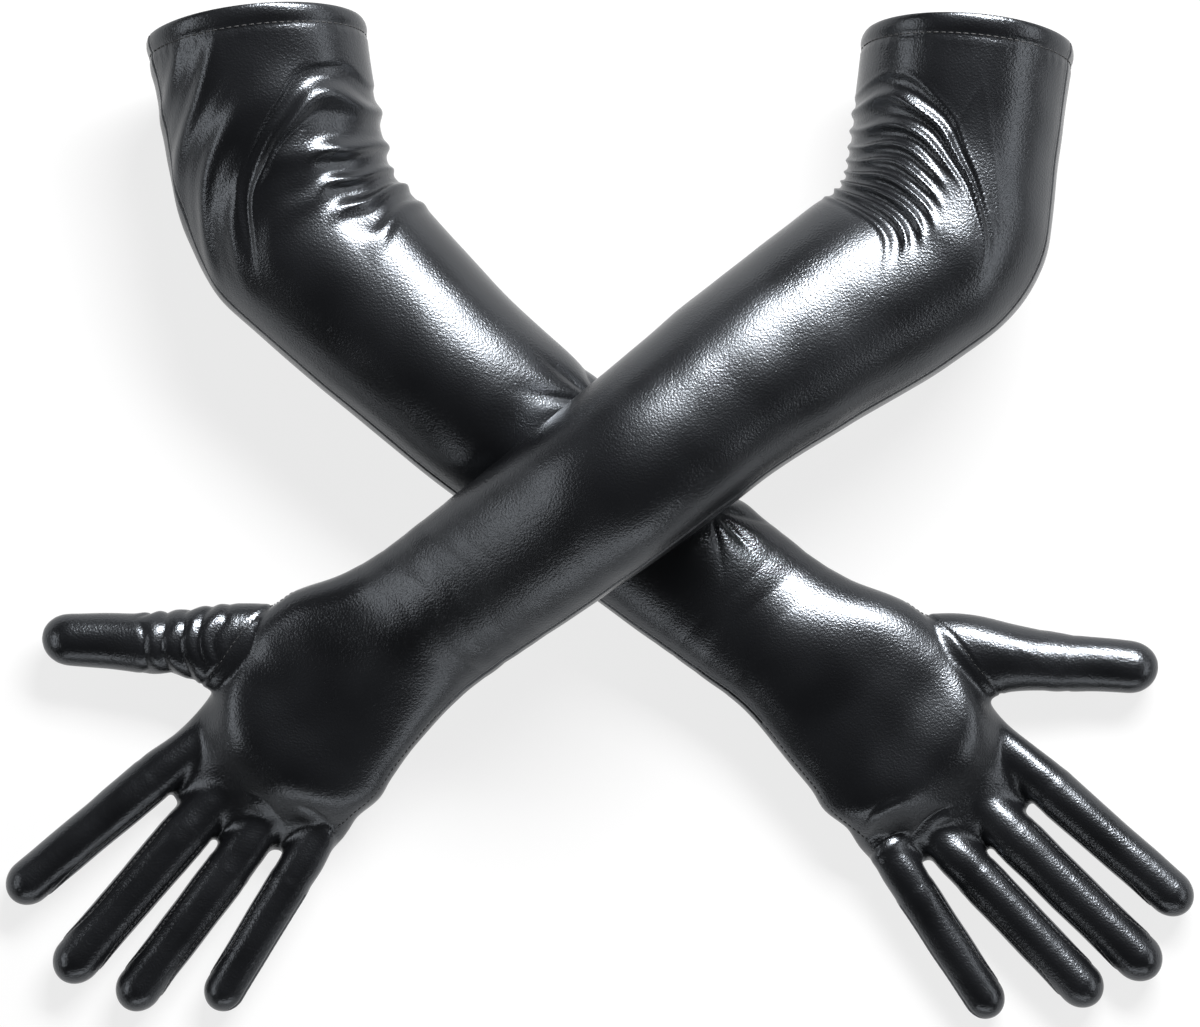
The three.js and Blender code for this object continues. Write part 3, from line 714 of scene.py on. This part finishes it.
# The thumb's sections, swung about the first one, the first half as far as the rest.
def thumbRows(limb):
    rows = thumb["sections"].copy()
    swing = limb["lay"]["thumbSwing"] * np.minimum(np.arange(len(rows)) / 2, 1)
    c, s = np.cos(np.radians(swing)), np.sin(np.radians(swing))
    away = rows[:, :2] - rows[0, :2]
    rows[:, 0] = rows[0, 0] + away[:, 0] * c - away[:, 1] * s
    rows[:, 1] = rows[0, 1] + away[:, 0] * s + away[:, 1] * c
    rows[:, 5] += swing
    return rows


# The thumb's ovals: each stands across the thumb's line, which curves out from the hand.
def thumbRings(limb, at, angle):
    rows = thumbRows(limb)
    keys = ("x", "y", "z", "half", "deep", "turn")
    table = {"at": np.linspace(0, 1, len(rows)), **dict(zip(keys, rows.T))}
    x, y, z, half, deep, turn = [valueAt(table, key, np.clip(at, 0, 1)) for key in keys]
    turn = np.radians(turn)
    lift = np.maximum(levelAt(limb, limb["wrist"] + thumb["root"]) + z, deep + 0.5)
    reach = math.hypot(*(rows[-1, :2] - rows[-2, :2]))
    bodyEnd = 1 - thumb["tip"] / reach / (len(rows) - 1)
    v = np.clip((at - bodyEnd) / (1 - bodyEnd), 0, 1)
    share = np.sqrt(np.maximum(1 - v ** 2, 0))
    root = np.clip(-at, 0, 1)    # rings before the first sink into the palm
    share = share * (1 - 0.5 * root)
    y = y - 24 * root
    w = (half * share)[:, None] * np.cos(angle)
    plan = handPoint(limb, x[:, None] - w * np.sin(turn)[:, None], y[:, None] + w * np.cos(turn)[:, None])
    up = lift[:, None] + (deep * share)[:, None] * np.sin(angle)
    return np.concatenate((plan, np.maximum(up, 0.4)[..., None]), -1)


# Rings closed at both ends by a fan to their middle.
def closedTube(rings, base):
    rows, columns = rings.shape[:2]
    points = np.concatenate((rings.reshape(-1, 3), rings[:1].mean(1), rings[-1:].mean(1)))
    quads = gridFaces(rows, columns)
    k = np.arange(columns)
    n = (k + 1) % columns
    low = np.stack((n, k, np.full(columns, rows * columns)), -1)
    top = (rows - 1) * columns
    high = np.stack((top + k, top + n, np.full(columns, rows * columns + 1)), -1)
    faces = quads.tolist() + low.tolist() + high.tolist()
    return points, [[i + base for i in face] for face in faces]


# in the hand's frame, out from its middle and along it: the palm's front edge
palmFront = np.array((
    (-60, 98), (-50, 106), (-43, 115), (-31, 125), (-21.5, 133), (-11, 141),
    (0, 142), (12, 142.5), (22, 139), (30, 131), (36, 120), (60, 108)), float)
# and along it and out from its middle: the thumb's set-in seam, which leaves the palm's edge, bows into
# the palm and comes back at the web
thumbSeam = np.array((
    (46, 45), (55, 45.6), (63, 46.6), (71.5, 46.4), (80, 44.6), (88.5, 42.3), (96, 41.2), (104, 40.4)), float)

hand = {
    "start": 16,              # the palm's tube: its two ends, where its round front begins,
    "end": 148,               # and where it begins to stretch out to the front edge
    "round": 132,
    "stretch": 70,
    "thinned": 0.24,          # how much flatter the webs are
    "fingerIn": 36,           # how far a finger's tube runs into the palm, and past its cut
    "fingerOn": 14,
    "fingerBend": 24,
    "smoothing": 16,
    "webRounds": 26,          # more smoothing where the fingers leave the palm
    "slack": (26, 0.14, 61),  # the palm's own waves: length, height, seed
    "rings": {                # gathers round the thumb's root
        "left": {"depth": 0.35, "pitch": 11, "from": 26, "to": 60, "seed": 4},
        "right": {"depth": 1.3, "pitch": 8.4, "from": 3, "to": 50, "seed": 9},
    },
    # short creases at the finger roots: along the hand, out from it, turn, length, depth
    "creases": {
        "left": [(96, -30, 86, 30, 0.7), (108, -38, 76, 24, 1.3), (116, -19, 80, 26, 1.1)],
        "right": [(104, -34, 84, 26, 0.7), (117, -16, 88, 24, 0.6)],
    },
}


# One closed surface for palm, finger roots and thumb: overlapping tubes, merged by a voxel remesh.
def handBlank(limb):
    angle = 2 * math.pi * np.arange(96) / 96
    body, end, stretch = hand["round"], hand["end"], hand["stretch"]
    x = np.concatenate((
        np.linspace(hand["start"], body, 54),
        body + (end - body) * np.sin(np.linspace(0.08, math.pi / 2, 14))))
    ring = limbPoint(limb, limb["wrist"] + x[:, None], angle[None, :])
    flat = ring.reshape(-1, 3)
    _, y, z = handPlace(limb, flat)
    was = np.repeat(x, len(angle))
    # drawn in to the outer fingers
    drawn = np.where(y < 0, 0.1 * smooth(was, 78, 108), 0.06 * smooth(was, 98, 124)) * y
    flat[:, :2] -= np.multiply.outer(drawn, limb["handAcross"])
    front = np.interp(y - drawn, palmFront[:, 0], palmFront[:, 1])
    now = np.where(was > stretch, stretch + (was - stretch) * (front - stretch) / (end - stretch), was)
    flat[:, :2] += np.multiply.outer(now - was, limb["handWay"])
    level = valueAt(limb, "height", limb["wrist"] + was)
    closing = np.clip((was - body) / (end - body + 0.2), 0, 1)
    thin = (1 - hand["thinned"] * smooth(front - now, 34, 6)) * np.sqrt(np.maximum(1 - closing ** 2, 0))
    flat[:, 2] = level + (z - level) * thin
    parts = [flat.reshape(ring.shape)]
    for n, finger in enumerate(fingers):
        s = np.linspace(-hand["fingerIn"], finger["cut"] + hand["fingerOn"], 44)
        f = fingerFrame(limb, n)
        parts.append(fingerPoint(f, s[:, None] + 0 * angle, angle[None, :] + 0 * s[:, None]))
    at = np.concatenate((
        np.linspace(-0.8, 0, 6)[:-1], np.linspace(0, 0.94, 60), np.linspace(0.945, 0.9995, 14)))
    parts.append(thumbRings(limb, at, angle[None, :]))
    points, faces, base = [], [], 0
    for part in parts:
        p, f = closedTube(part, base)
        points.append(p)
        faces += f
        base += len(p)
    blank = bpy.data.meshes.new("handBlank")
    blank.from_pydata((np.concatenate(points) * metres).tolist(), [], faces)
    holder = addObject("handBlank", blank)
    remesh = holder.modifiers.new("merge", "REMESH")
    remesh.mode, remesh.voxel_size, remesh.adaptivity = "VOXEL", mesh["voxel"] * metres, 0
    merged = bpy.data.meshes.new_from_object(holder.evaluated_get(bpy.context.evaluated_depsgraph_get()))
    co = np.empty(len(merged.vertices) * 3, np.float32)
    merged.vertices.foreach_get("co", co)
    corners = np.empty(len(merged.loops), np.int32)
    merged.loops.foreach_get("vertex_index", corners)
    quads = corners.reshape(-1, 4)
    bpy.data.objects.remove(holder)
    bpy.data.meshes.remove(blank)
    bpy.data.meshes.remove(merged)
    return co.reshape(-1, 3).astype(float) / metres, quads


# Each round moves a point half way to its neighbours' mean, then almost as far back, so that nothing
# shrinks; share says how far each point takes part, and back 0 lets it shrink.
def relax(points, quads, rounds, share=1.0, back=-0.51):
    edge = np.concatenate([quads[:, (k, (k + 1) % 4)] for k in range(4)])
    count = np.bincount(edge[:, 0], minlength=len(points)) + np.bincount(edge[:, 1], minlength=len(points))
    for step in [0.5, back] * rounds:
        mean = np.stack([
            np.bincount(edge[:, 0], points[edge[:, 1], k], len(points))
            + np.bincount(edge[:, 1], points[edge[:, 0], k], len(points)) for k in range(3)], -1)
        points = points + (step * share) * (mean / count[:, None] - points)
    return points


def meshNormals(points, quads):
    a, b, c, d = (points[quads[:, k]] for k in range(4))
    face = np.cross(c - a, d - b)
    normal = np.stack([
        sum(np.bincount(quads[:, k], face[:, j], len(points)) for k in range(4)) for j in range(3)], -1)
    return normal / np.maximum(np.linalg.norm(normal, axis=1)[:, None], 1e-9)


# Folds of palm and thumb, fading out where the fingers' own pieces begin.
def handRelief(limb, points):
    x, y, z = handPlace(limb, points)
    normalUp = smooth(z, 8, 16)
    length, height, seed = hand["slack"]
    relief = slackOf(points) + height * unevenness(points, length, seed) * smooth(x, 45, 70)

    # thumb gathers run across the thumb's line
    k, (ahead, aside) = hand["rings"][limb["side"]], thumb["way"]
    out = (x - thumb["root"]) * ahead + (y - thumb["cut"]) * aside
    offset = -(x - thumb["root"]) * aside + (y - thumb["cut"]) * ahead
    bent = out + 0.012 * offset ** 2 + 2.4 * unevenness(points, 20, k["seed"])
    window = (smooth(out, k["from"], k["from"] + 9) * (1 - smooth(out, k["to"] - 10, k["to"]))
              * smooth(y, 40, 47))
    relief += k["depth"] * window * (gathers(2 * math.pi * bent / k["pitch"], k["seed"]) - 0.55)
    for cx, cy, turn, length, depth in hand["creases"][limb["side"]]:
        a = math.radians(turn)
        along = (x - cx) * math.cos(a) + (y - cy) * math.sin(a)
        away = -(x - cx) * math.sin(a) + (y - cy) * math.cos(a) + 0.02 * along ** 2
        ends = 1 - smooth(np.abs(along), 0.25 * length, 0.5 * length)
        relief += normalUp * depth * ends * (
            0.7 * np.exp(-(away / 2.6) ** 2) - np.exp(-np.abs(away - 3.2) / 0.9) * 0.8)

    # the seam that sets the thumb in
    place = np.abs(y - thumbSeamAt(x))
    relief += seamRelief(place, out) * smooth(z, 4, 8) * smooth(x, 42, 48) * (1 - smooth(x, 104, 107))
    return relief


def thumbSeamAt(x):
    return np.interp(x, thumbSeam[:, 0], thumbSeam[:, 1])


def makeHand(limb, lower):
    side = limb["side"]
    points, quads = handBlank(limb)
    points = relax(points, quads, hand["smoothing"])
    x, y, _ = handPlace(limb, points)
    web = smooth(x, 86, 104) * (np.abs(y) < 60)
    points = relax(points, quads, hand["webRounds"], web[:, None], 0.0)
    normal = meshNormals(points, quads)
    if (normal[:, 2] * (points[:, 2] - points[:, 2].mean())).sum() < 0:
        quads = quads[:, ::-1]
        normal = -normal
    frames = [fingerFrame(limb, n) for n in range(4)]
    middle = points[quads].mean(1)
    x, y, _ = handPlace(limb, middle)

    # which faces belong to the palm (0), the thumb (1), the arm (2) and each finger (3 and up)
    label = np.where((y > thumb["cut"]) & (x < 160), 1, 0)
    label[x < handStart - limb["wrist"]] = 2
    gaps = np.stack([np.abs((middle - f["root"]) @ f["aside"]) for f in frames], -1)
    nearest = gaps.argmin(-1)
    for n, f in enumerate(frames):
        s = (middle - f["root"]) @ f["ahead"]
        label[(nearest == n) & (s > f["cut"]) & (label == 0) & (x > 100)] = 3 + n
    at = np.zeros((7, len(points)), bool)
    for k in range(7):
        at[k, quads[label == k].ravel()] = True

    # straighten the cuts
    edge = at[2] & (at[0] | at[1])
    px = handPlace(limb, points)[0]
    points[edge, :2] += np.multiply.outer(handStart - limb["wrist"] - px[edge], limb["handWay"])
    for n, f in enumerate(frames):
        edge = at[3 + n] & at[0]
        s = (points[edge] - f["root"]) @ f["ahead"]
        points[edge] += np.multiply.outer(f["cut"] - s, f["ahead"])

    # near a cut the skin lies exactly on the neighbour's own surface
    px, py, pz = handPlace(limb, points)
    t = limb["wrist"] + px
    tt = np.clip(t, limb["wrist"] + 23, None)
    square = 1 / valueAt(limb, "square", tt)
    c = (py - valueAt(limb, "shift", tt)) / valueAt(limb, "halfWidth", tt)
    u = (pz - valueAt(limb, "height", tt)) / valueAt(limb, "halfDepth", tt)
    angle = np.arctan2(np.sign(u) * np.abs(u) ** square, np.sign(c) * np.abs(c) ** square)
    exact = limbPoint(limb, t, angle)
    if lower:
        exact = restOn(exact, lower)
    near = (1 - smooth(px, 36, 50))[:, None]
    points = points + (exact - points) * near
    for f in frames:
        rel = points - f["root"]
        s, a, b = rel @ f["ahead"], rel @ f["aside"], rel @ f["up"]
        turn = np.arctan2(b * f["width"] / f["depth"], a)
        exact = fingerPoint(f, s, turn)
        away = np.linalg.norm(exact - points, axis=1)
        close = smooth(s, f["cut"] - 3.5, f["cut"] - 0.2) * (1 - smooth(away, 1.2, 2.2)) * (s < f["cut"] + 6)
        points = points + (exact - points) * close[:, None]

    # folds
    normal = meshNormals(points, quads)
    px = handPlace(limb, points)[0]
    relief = handRelief(limb, points)
    whole = sleeveRelief(limb, t, angle, points)
    relief = relief + (whole - relief) * (1 - smooth(px, 36, 52))
    for f in frames:
        s = (points - f["root"]) @ f["ahead"]
        mine = np.abs((points - f["root"]) @ f["aside"]) < f["width"] * 0.62
        relief = relief * np.where(mine & (px > 100), 1 - smooth(s, f["cut"] - 9, f["cut"] - 2), 1)
    points = points + normal * relief[:, None]
    points[:, 2] = np.maximum(points[:, 2], 0.05)
    normal = meshNormals(points, quads)

    for word, number, node in (("hand", 0, f"{side}_palm"), ("thumb", 1, f"{side}_thumb")):
        used, renumbered = np.unique(quads[label == number], return_inverse=True)
        piece = makeShell(f"{side}_{word}_skin", points[used], normal[used], renumbered.reshape(-1, 4),
                          arm["wall"], coated, lining)
        if word == "hand":
            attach(piece, f"{side}_hand")
        else:
            blendThumb(piece)
        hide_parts(node)

    # the long seam's last stretch, and the seam round the thumb
    seamX = np.arange(handStart - limb["wrist"] + 1, 108, 1.0)
    places = limbPoint(limb, limb["wrist"] + seamX, np.full(len(seamX), seam["angle"]))
    line, lineNormals = onSkin(limb, points, normal, seamX, places)
    row = stitchRow(f"{side}_palm_seam_stitches", line, lineNormals, seam, thread)
    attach(row, f"{side}_hand")
    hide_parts(f"{side}_palm_seam_thread")
    thumbX = np.arange(47, 104, 0.7)
    line, lineNormals = onSkin(limb, points, normal, thumbX, handPoint(limb, thumbX, thumbSeamAt(thumbX)))
    row = stitchRow(f"{side}_thumb_seam_stitches", line, lineNormals, seam, thread)
    blendThumb(row)
    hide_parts(f"{side}_thumb_seam_thread")


# The upper skin's points nearest to a row of places, given in plan or in space, evened out along the row.
def onSkin(limb, points, normal, x, places):
    px = handPlace(limb, points)[0]
    upper = np.flatnonzero((normal[:, 2] > 0.05) & (px > x[0] - 8) & (px < x[-1] + 8))
    near = points[upper, :places.shape[1]]
    found = [upper[np.argmin(((near - place) ** 2).sum(1))] for place in places]
    line, lineNormals = points[found], normal[found]
    kernel = np.ones(5) / 5
    for _ in range(2):
        padded = np.concatenate((line[:1], line[:1], line, line[-1:], line[-1:]))
        line = np.stack([np.convolve(padded[:, k], kernel, "valid") for k in range(3)], -1)
    return line, lineNormals


def blendThumb(piece):
    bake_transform(piece)


fingerFolds = {"knuckle": 0.06, "slack": 0.09, "strip": 0.52, "stripReach": 0.86, "swell": 0.2}


# A fourchette's two seams: at ±strip of the finger's half depth, drawing together to a point.
def stripHeight(f, s):
    end = fingerFolds["stripReach"] * f["length"]
    closing = smooth(s, 0.6 * f["length"], end)
    return fingerFolds["strip"] * np.sqrt(np.maximum(1 - closing, 0))


# Slack, faint creases at the two knuckles, and the seams with the strips swelling between them.
def fingerRelief(f, n, s, angle, points):
    r = fingerRadius(f, np.minimum(s, 0.9 * f["length"]))
    c, u = np.cos(angle), np.sin(angle)
    start = smooth(s, f["cut"], f["cut"] + 6)
    tip = 1 - smooth(s, f["length"] - 4, f["length"])
    relief = start * (
        fingerFolds["slack"] * unevenness(points, 26, 70 + n) + 0.03 * unevenness(points, 11, 80 + n))
    for share in (0.36, 0.66):
        away = s - share * f["length"] + 1.5 * unevenness(points, 14, 90 + n)
        window = np.exp(-(away / 7) ** 2) * smooth(u, 0, 0.6)
        relief += fingerFolds["knuckle"] * window * (gathers(2 * math.pi * away / 4.2, 7 + n) - 0.6)
    end = fingerFolds["stripReach"] * f["length"]
    for word in f["strips"]:
        onSide = c * sideWay[word] > 0
        low = stripHeight(f, s)
        away = (np.abs(u) - low) * r / np.maximum(np.abs(c), 0.3)
        relief += np.where(onSide & (s < end), seamRelief(away, s), 0) * tip
        relief += np.where(onSide & (s < end) & (np.abs(u) < low), fingerFolds["swell"] * start, 0) * (
            1 - (u / np.maximum(low, 0.05)) ** 2)
    if f["name"] == "little":    # the palm's side seam runs on along it
        relief += np.where(c < 0, seamRelief(u * r - 3, s), 0) * tip
    return relief


def makeFinger(limb, n):
    f, side = fingerFrame(limb, n), limb["side"]
    cap = fingerCap * f["width"] / 2
    bodyRows = int(mesh["fingerRows"] * 0.8)
    tube = np.linspace(f["cut"], f["length"] - cap, bodyRows)
    climb = np.linspace(0, math.radians(86), mesh["fingerRows"] - bodyRows)[1:]
    ball = f["length"] - cap + cap * np.sin(climb)
    s = np.concatenate(((f["cut"] - (tube[1] - tube[0]),), tube, ball))
    angle = 2 * math.pi * np.arange(mesh["fingerAround"]) / mesh["fingerAround"]
    sGrid, aGrid = s[:, None] + 0 * angle, angle[None, :] + 0 * s[:, None]
    grid = fingerPoint(f, sGrid, aGrid)
    normal = gridNormals(grid)
    if (normal * (grid - grid.mean(1, keepdims=True))).sum() < 0:
        normal = -normal
    grid = grid + normal * fingerRelief(f, n, sGrid, aGrid, grid)[..., None]
    grid[..., 2] = np.maximum(grid[..., 2], 0.05)
    turned = gridNormals(grid)
    if (turned * normal).sum() < 0:
        turned = -turned
    grid, turned, s = grid[1:], turned[1:], s[1:]
    rows, columns = grid.shape[:2]
    tip = f["root"] + f["ahead"] * f["length"]
    points = np.concatenate((grid.reshape(-1, 3), tip[None]))
    normals = np.concatenate((turned.reshape(-1, 3), f["ahead"][None]))
    quads = gridFaces(rows, columns)
    k = np.arange(columns) + (rows - 1) * columns
    triangles = np.stack((np.roll(k, -1), k, np.full(columns, rows * columns)), -1)[:, ::-1]
    name = f"{side}_{f['name']}"
    piece = makeShell(f"{name}_finger", points, normals, quads, arm["wall"], coated, lining, triangles)
    blendFinger(piece)
    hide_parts(f"{name}_cover", *[f"{name}_{word}_fourchette" for word in f["strips"]])

    # stitches along the fourchettes' seams
    along = np.arange(f["cut"] + 1, fingerFolds["stripReach"] * f["length"] - 1, 0.8)
    for word in f["strips"]:
        for high in (1, -1):
            lean = np.arcsin(stripHeight(f, along)) * high
            turn = lean if word == "thumbward" else math.pi - lean
            spot = fingerPoint(f, along, turn)
            out = f["aside"] * np.cos(turn)[:, None] + f["up"] * np.sin(turn)[:, None]
            label = f"{name}_{word}_{'upper' if high > 0 else 'lower'}_stitches"
            row = stitchRow(label, spot - out * 0.25, out, seam, thread)
            blendFinger(row)


def blendFinger(piece):
    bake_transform(piece)


studio = {    # metres and watts
    "camera": 4.0,
    "across": 0.492,      # what the frame spans
    "level": 0.035,       # at this height
    "key": {"place": (0.5, 1.15, 1.15), "size": (1.1, 0.45), "power": 135},
    "left": {"place": (-1.6, -0.1, 0.8), "size": (1.3, 0.4), "power": 6},
    "right": {"place": (1.6, -0.1, 0.8), "size": (1.3, 0.4), "power": 6},
    "fill": {"place": (0.1, -1.6, 0.62), "size": (2.0, 0.4), "power": 7},
    "aim": (0, 0, 0.02),
    "sky": 0.03,          # overhead
    "horizon": 0.35,
    "floor": 4,           # from its middle to its sides
    "floorLevel": -0.0004,
    "floorShade": 0.08,
    "floorGlow": 0.8,
}


def addLight(name, settings):
    light = bpy.data.lights.new(name, "AREA")
    light.shape = "RECTANGLE"
    light.size, light.size_y = settings["size"]
    light.energy = settings["power"]
    lamp = addObject(name, light)
    lamp.location = settings["place"]
    x, y, z = np.array(settings["place"]) - np.array(studio["aim"])
    lamp.rotation_euler = (math.atan2(math.hypot(x, y), z), 0, math.atan2(y, x) + math.pi / 2)


def makeStudio():
    scene = bpy.context.scene
    lens = bpy.data.cameras.new("camera")
    lens.sensor_width = 36
    lens.lens = 36 * (studio["camera"] - studio["level"]) / studio["across"]
    camera = addObject("camera", lens)
    camera.location = (0, 0, studio["camera"])
    scene.camera = camera

    corners = [
        (x * studio["floor"], y * studio["floor"], studio["floorLevel"])
        for x, y in ((-1, -1), (1, -1), (1, 1), (-1, 1))]
    floorMesh = bpy.data.meshes.new("floor")
    floorMesh.from_pydata(corners, [], [(0, 1, 2, 3)])
    floor = addObject("floor", floorMesh)
    material, _, shader = newMaterial("paper", [studio["floorShade"]] * 3, 0.9)
    shader.inputs["Specular IOR Level"].default_value = 0.1
    shader.inputs["Emission Color"].default_value = (1, 1, 1, 1)
    shader.inputs["Emission Strength"].default_value = studio["floorGlow"]
    floorMesh.materials.append(material)

    for name in ("key", "left", "right", "fill"):
        addLight(name, studio[name])

    # bright near the horizon, dark overhead
    sky = bpy.data.worlds.new("sky")
    sky.use_nodes = True
    tree = sky.node_tree
    tree.nodes["Background"].inputs["Color"].default_value = (1, 1, 1, 1)
    split = addNode(tree, "ShaderNodeSeparateXYZ")
    fade = addRange(tree, 0.0, 0.3, studio["horizon"], studio["sky"])
    tree.links.new(addNode(tree, "ShaderNodeTexCoord").outputs["Generated"], split.inputs["Vector"])
    tree.links.new(split.outputs["Z"], fade.inputs["Value"])
    tree.links.new(fade.outputs["Result"], tree.nodes["Background"].inputs["Strength"])
    scene.world = sky
    scene.view_settings.view_transform = "Standard"


makeStudio()
print("studio ready")
limbs = {side: limbOf(side) for side in ("left", "right")}
for side, limb in limbs.items():
    lower = limbs["left"] if side == "right" else None
    makeArm(limb, lower)
    print(side, "arm ready")
    makeHand(limb, lower)
    print(side, "hand ready")
    for n in range(4):
        makeFinger(limb, n)
    print(side, "fingers ready")
